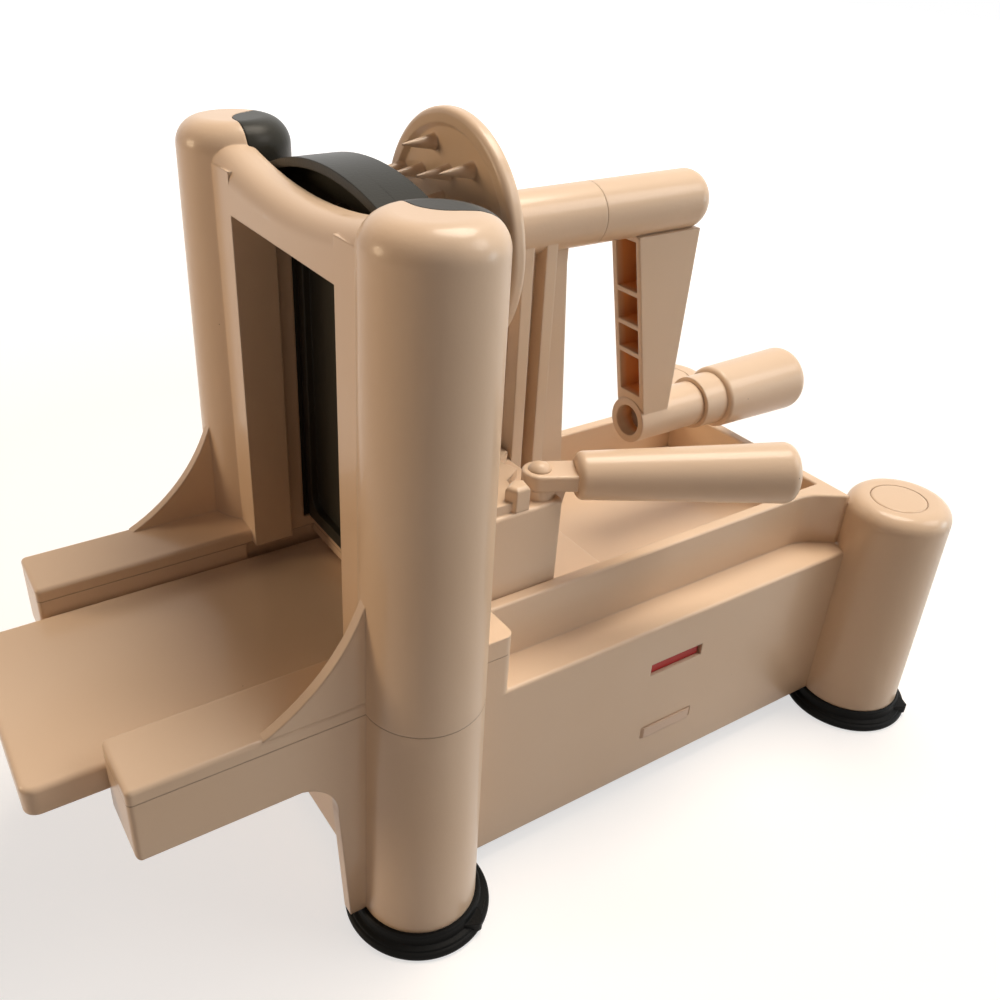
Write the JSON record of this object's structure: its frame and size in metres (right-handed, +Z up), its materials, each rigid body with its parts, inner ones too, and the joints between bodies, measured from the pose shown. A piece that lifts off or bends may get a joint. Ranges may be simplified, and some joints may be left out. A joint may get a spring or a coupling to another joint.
{
  "type": "spiral vegetable slicer",
  "caption": "Hand-cranked spiral vegetable slicer in cream plastic with a spiked disc, side lever and suction feet.",
  "frame": {"origin": "on the table under the middle of the bounding box", "axes": "+X towards the crank end, +Y away from the side lever, +Z up"},
  "size_m": [0.3256, 0.1682, 0.2287],
  "materials": {
    "cream_plastic": "glossy moulded ABS",
    "olive_plastic": "semi-gloss moulded plastic",
    "rubber": "soft rubber",
    "blade_steel": "ground stainless steel",
    "steel": "plated steel",
    "red_plastic": "glossy",
    "white_plastic": "glossy",
    "nylon": "matte"
  },
  "bodies": {
    "base": {"base_tray": "cream_plastic", "tower": "cream_plastic", "base_screws": "steel", "foot_front_near": "rubber", "foot_front_far": "rubber", "foot_rear_near": "rubber", "foot_rear_far": "rubber", "column_plug_near": "cream_plastic", "column_plug_far": "cream_plastic"},
    "blade_set": {"blade_holder": "olive_plastic", "fitted_panel": "olive_plastic", "fitted_blade": "blade_steel", "fitted_core_tube": "blade_steel", "fitted_screws": "steel"},
    "stored_lower": {"stored_lower_panel": "olive_plastic", "stored_lower_blade": "blade_steel", "stored_lower_comb": "blade_steel", "stored_lower_screws": "steel"},
    "stored_upper": {"stored_upper_panel": "olive_plastic", "stored_upper_blade": "blade_steel", "stored_upper_comb": "blade_steel", "stored_upper_screws": "steel"},
    "tab_lower": {"tab_lower": "white_plastic"},
    "tab_upper": {"tab_upper": "red_plastic"},
    "carriage": {"sliding_plate": "cream_plastic", "upright": "cream_plastic", "shaft_bushes": "nylon"},
    "lever": {"lever_arm": "cream_plastic", "lever_grip": "cream_plastic", "lever_pivot": "cream_plastic"},
    "crank": {"drive_shaft": "steel", "spiked_disc": "cream_plastic", "crank_arm": "cream_plastic", "grip_axle": "steel"},
    "crank_grip": {"crank_grip": "cream_plastic"}
  },
  "joints": [
    {"name": "holder_lift", "type": "slide", "parent": "base", "child": "blade_set", "axis": [0, 0, 1], "range_m": [0, 0.14]},
    {"name": "stored_lower_draw", "type": "slide", "parent": "base", "child": "stored_lower", "axis": [1, 0, 0], "range_m": [0, 0.13]},
    {"name": "stored_upper_draw", "type": "slide", "parent": "base", "child": "stored_upper", "axis": [1, 0, 0], "range_m": [0, 0.13]},
    {"name": "tab_lower_press", "type": "slide", "parent": "base", "child": "tab_lower", "axis": [0, 1, 0], "range_m": [0, 0.0022], "stiffness_N_per_m": 400},
    {"name": "tab_upper_press", "type": "slide", "parent": "base", "child": "tab_upper", "axis": [0, 1, 0], "range_m": [0, 0.0022], "stiffness_N_per_m": 400},
    {"name": "carriage_slide", "type": "slide", "parent": "base", "child": "carriage", "axis": [1, 0, 0], "range_m": [-0.005, 0.086]},
    {"name": "lever_swing", "type": "hinge", "parent": "carriage", "child": "lever", "pos_m": [-0.0042, -0.0306, 0.127], "axis": [0, 0, 1], "range_deg": [-75, 0]},
    {"name": "crank_turn", "type": "hinge", "parent": "carriage", "child": "crank", "pos_m": [0, 0, 0.1947], "axis": [1, 0, 0], "continuous": true},
    {"name": "grip_spin", "type": "hinge", "parent": "crank", "child": "crank_grip", "pos_m": [0.1, 0, 0.1173], "axis": [1, 0, 0], "continuous": true}
  ]
}
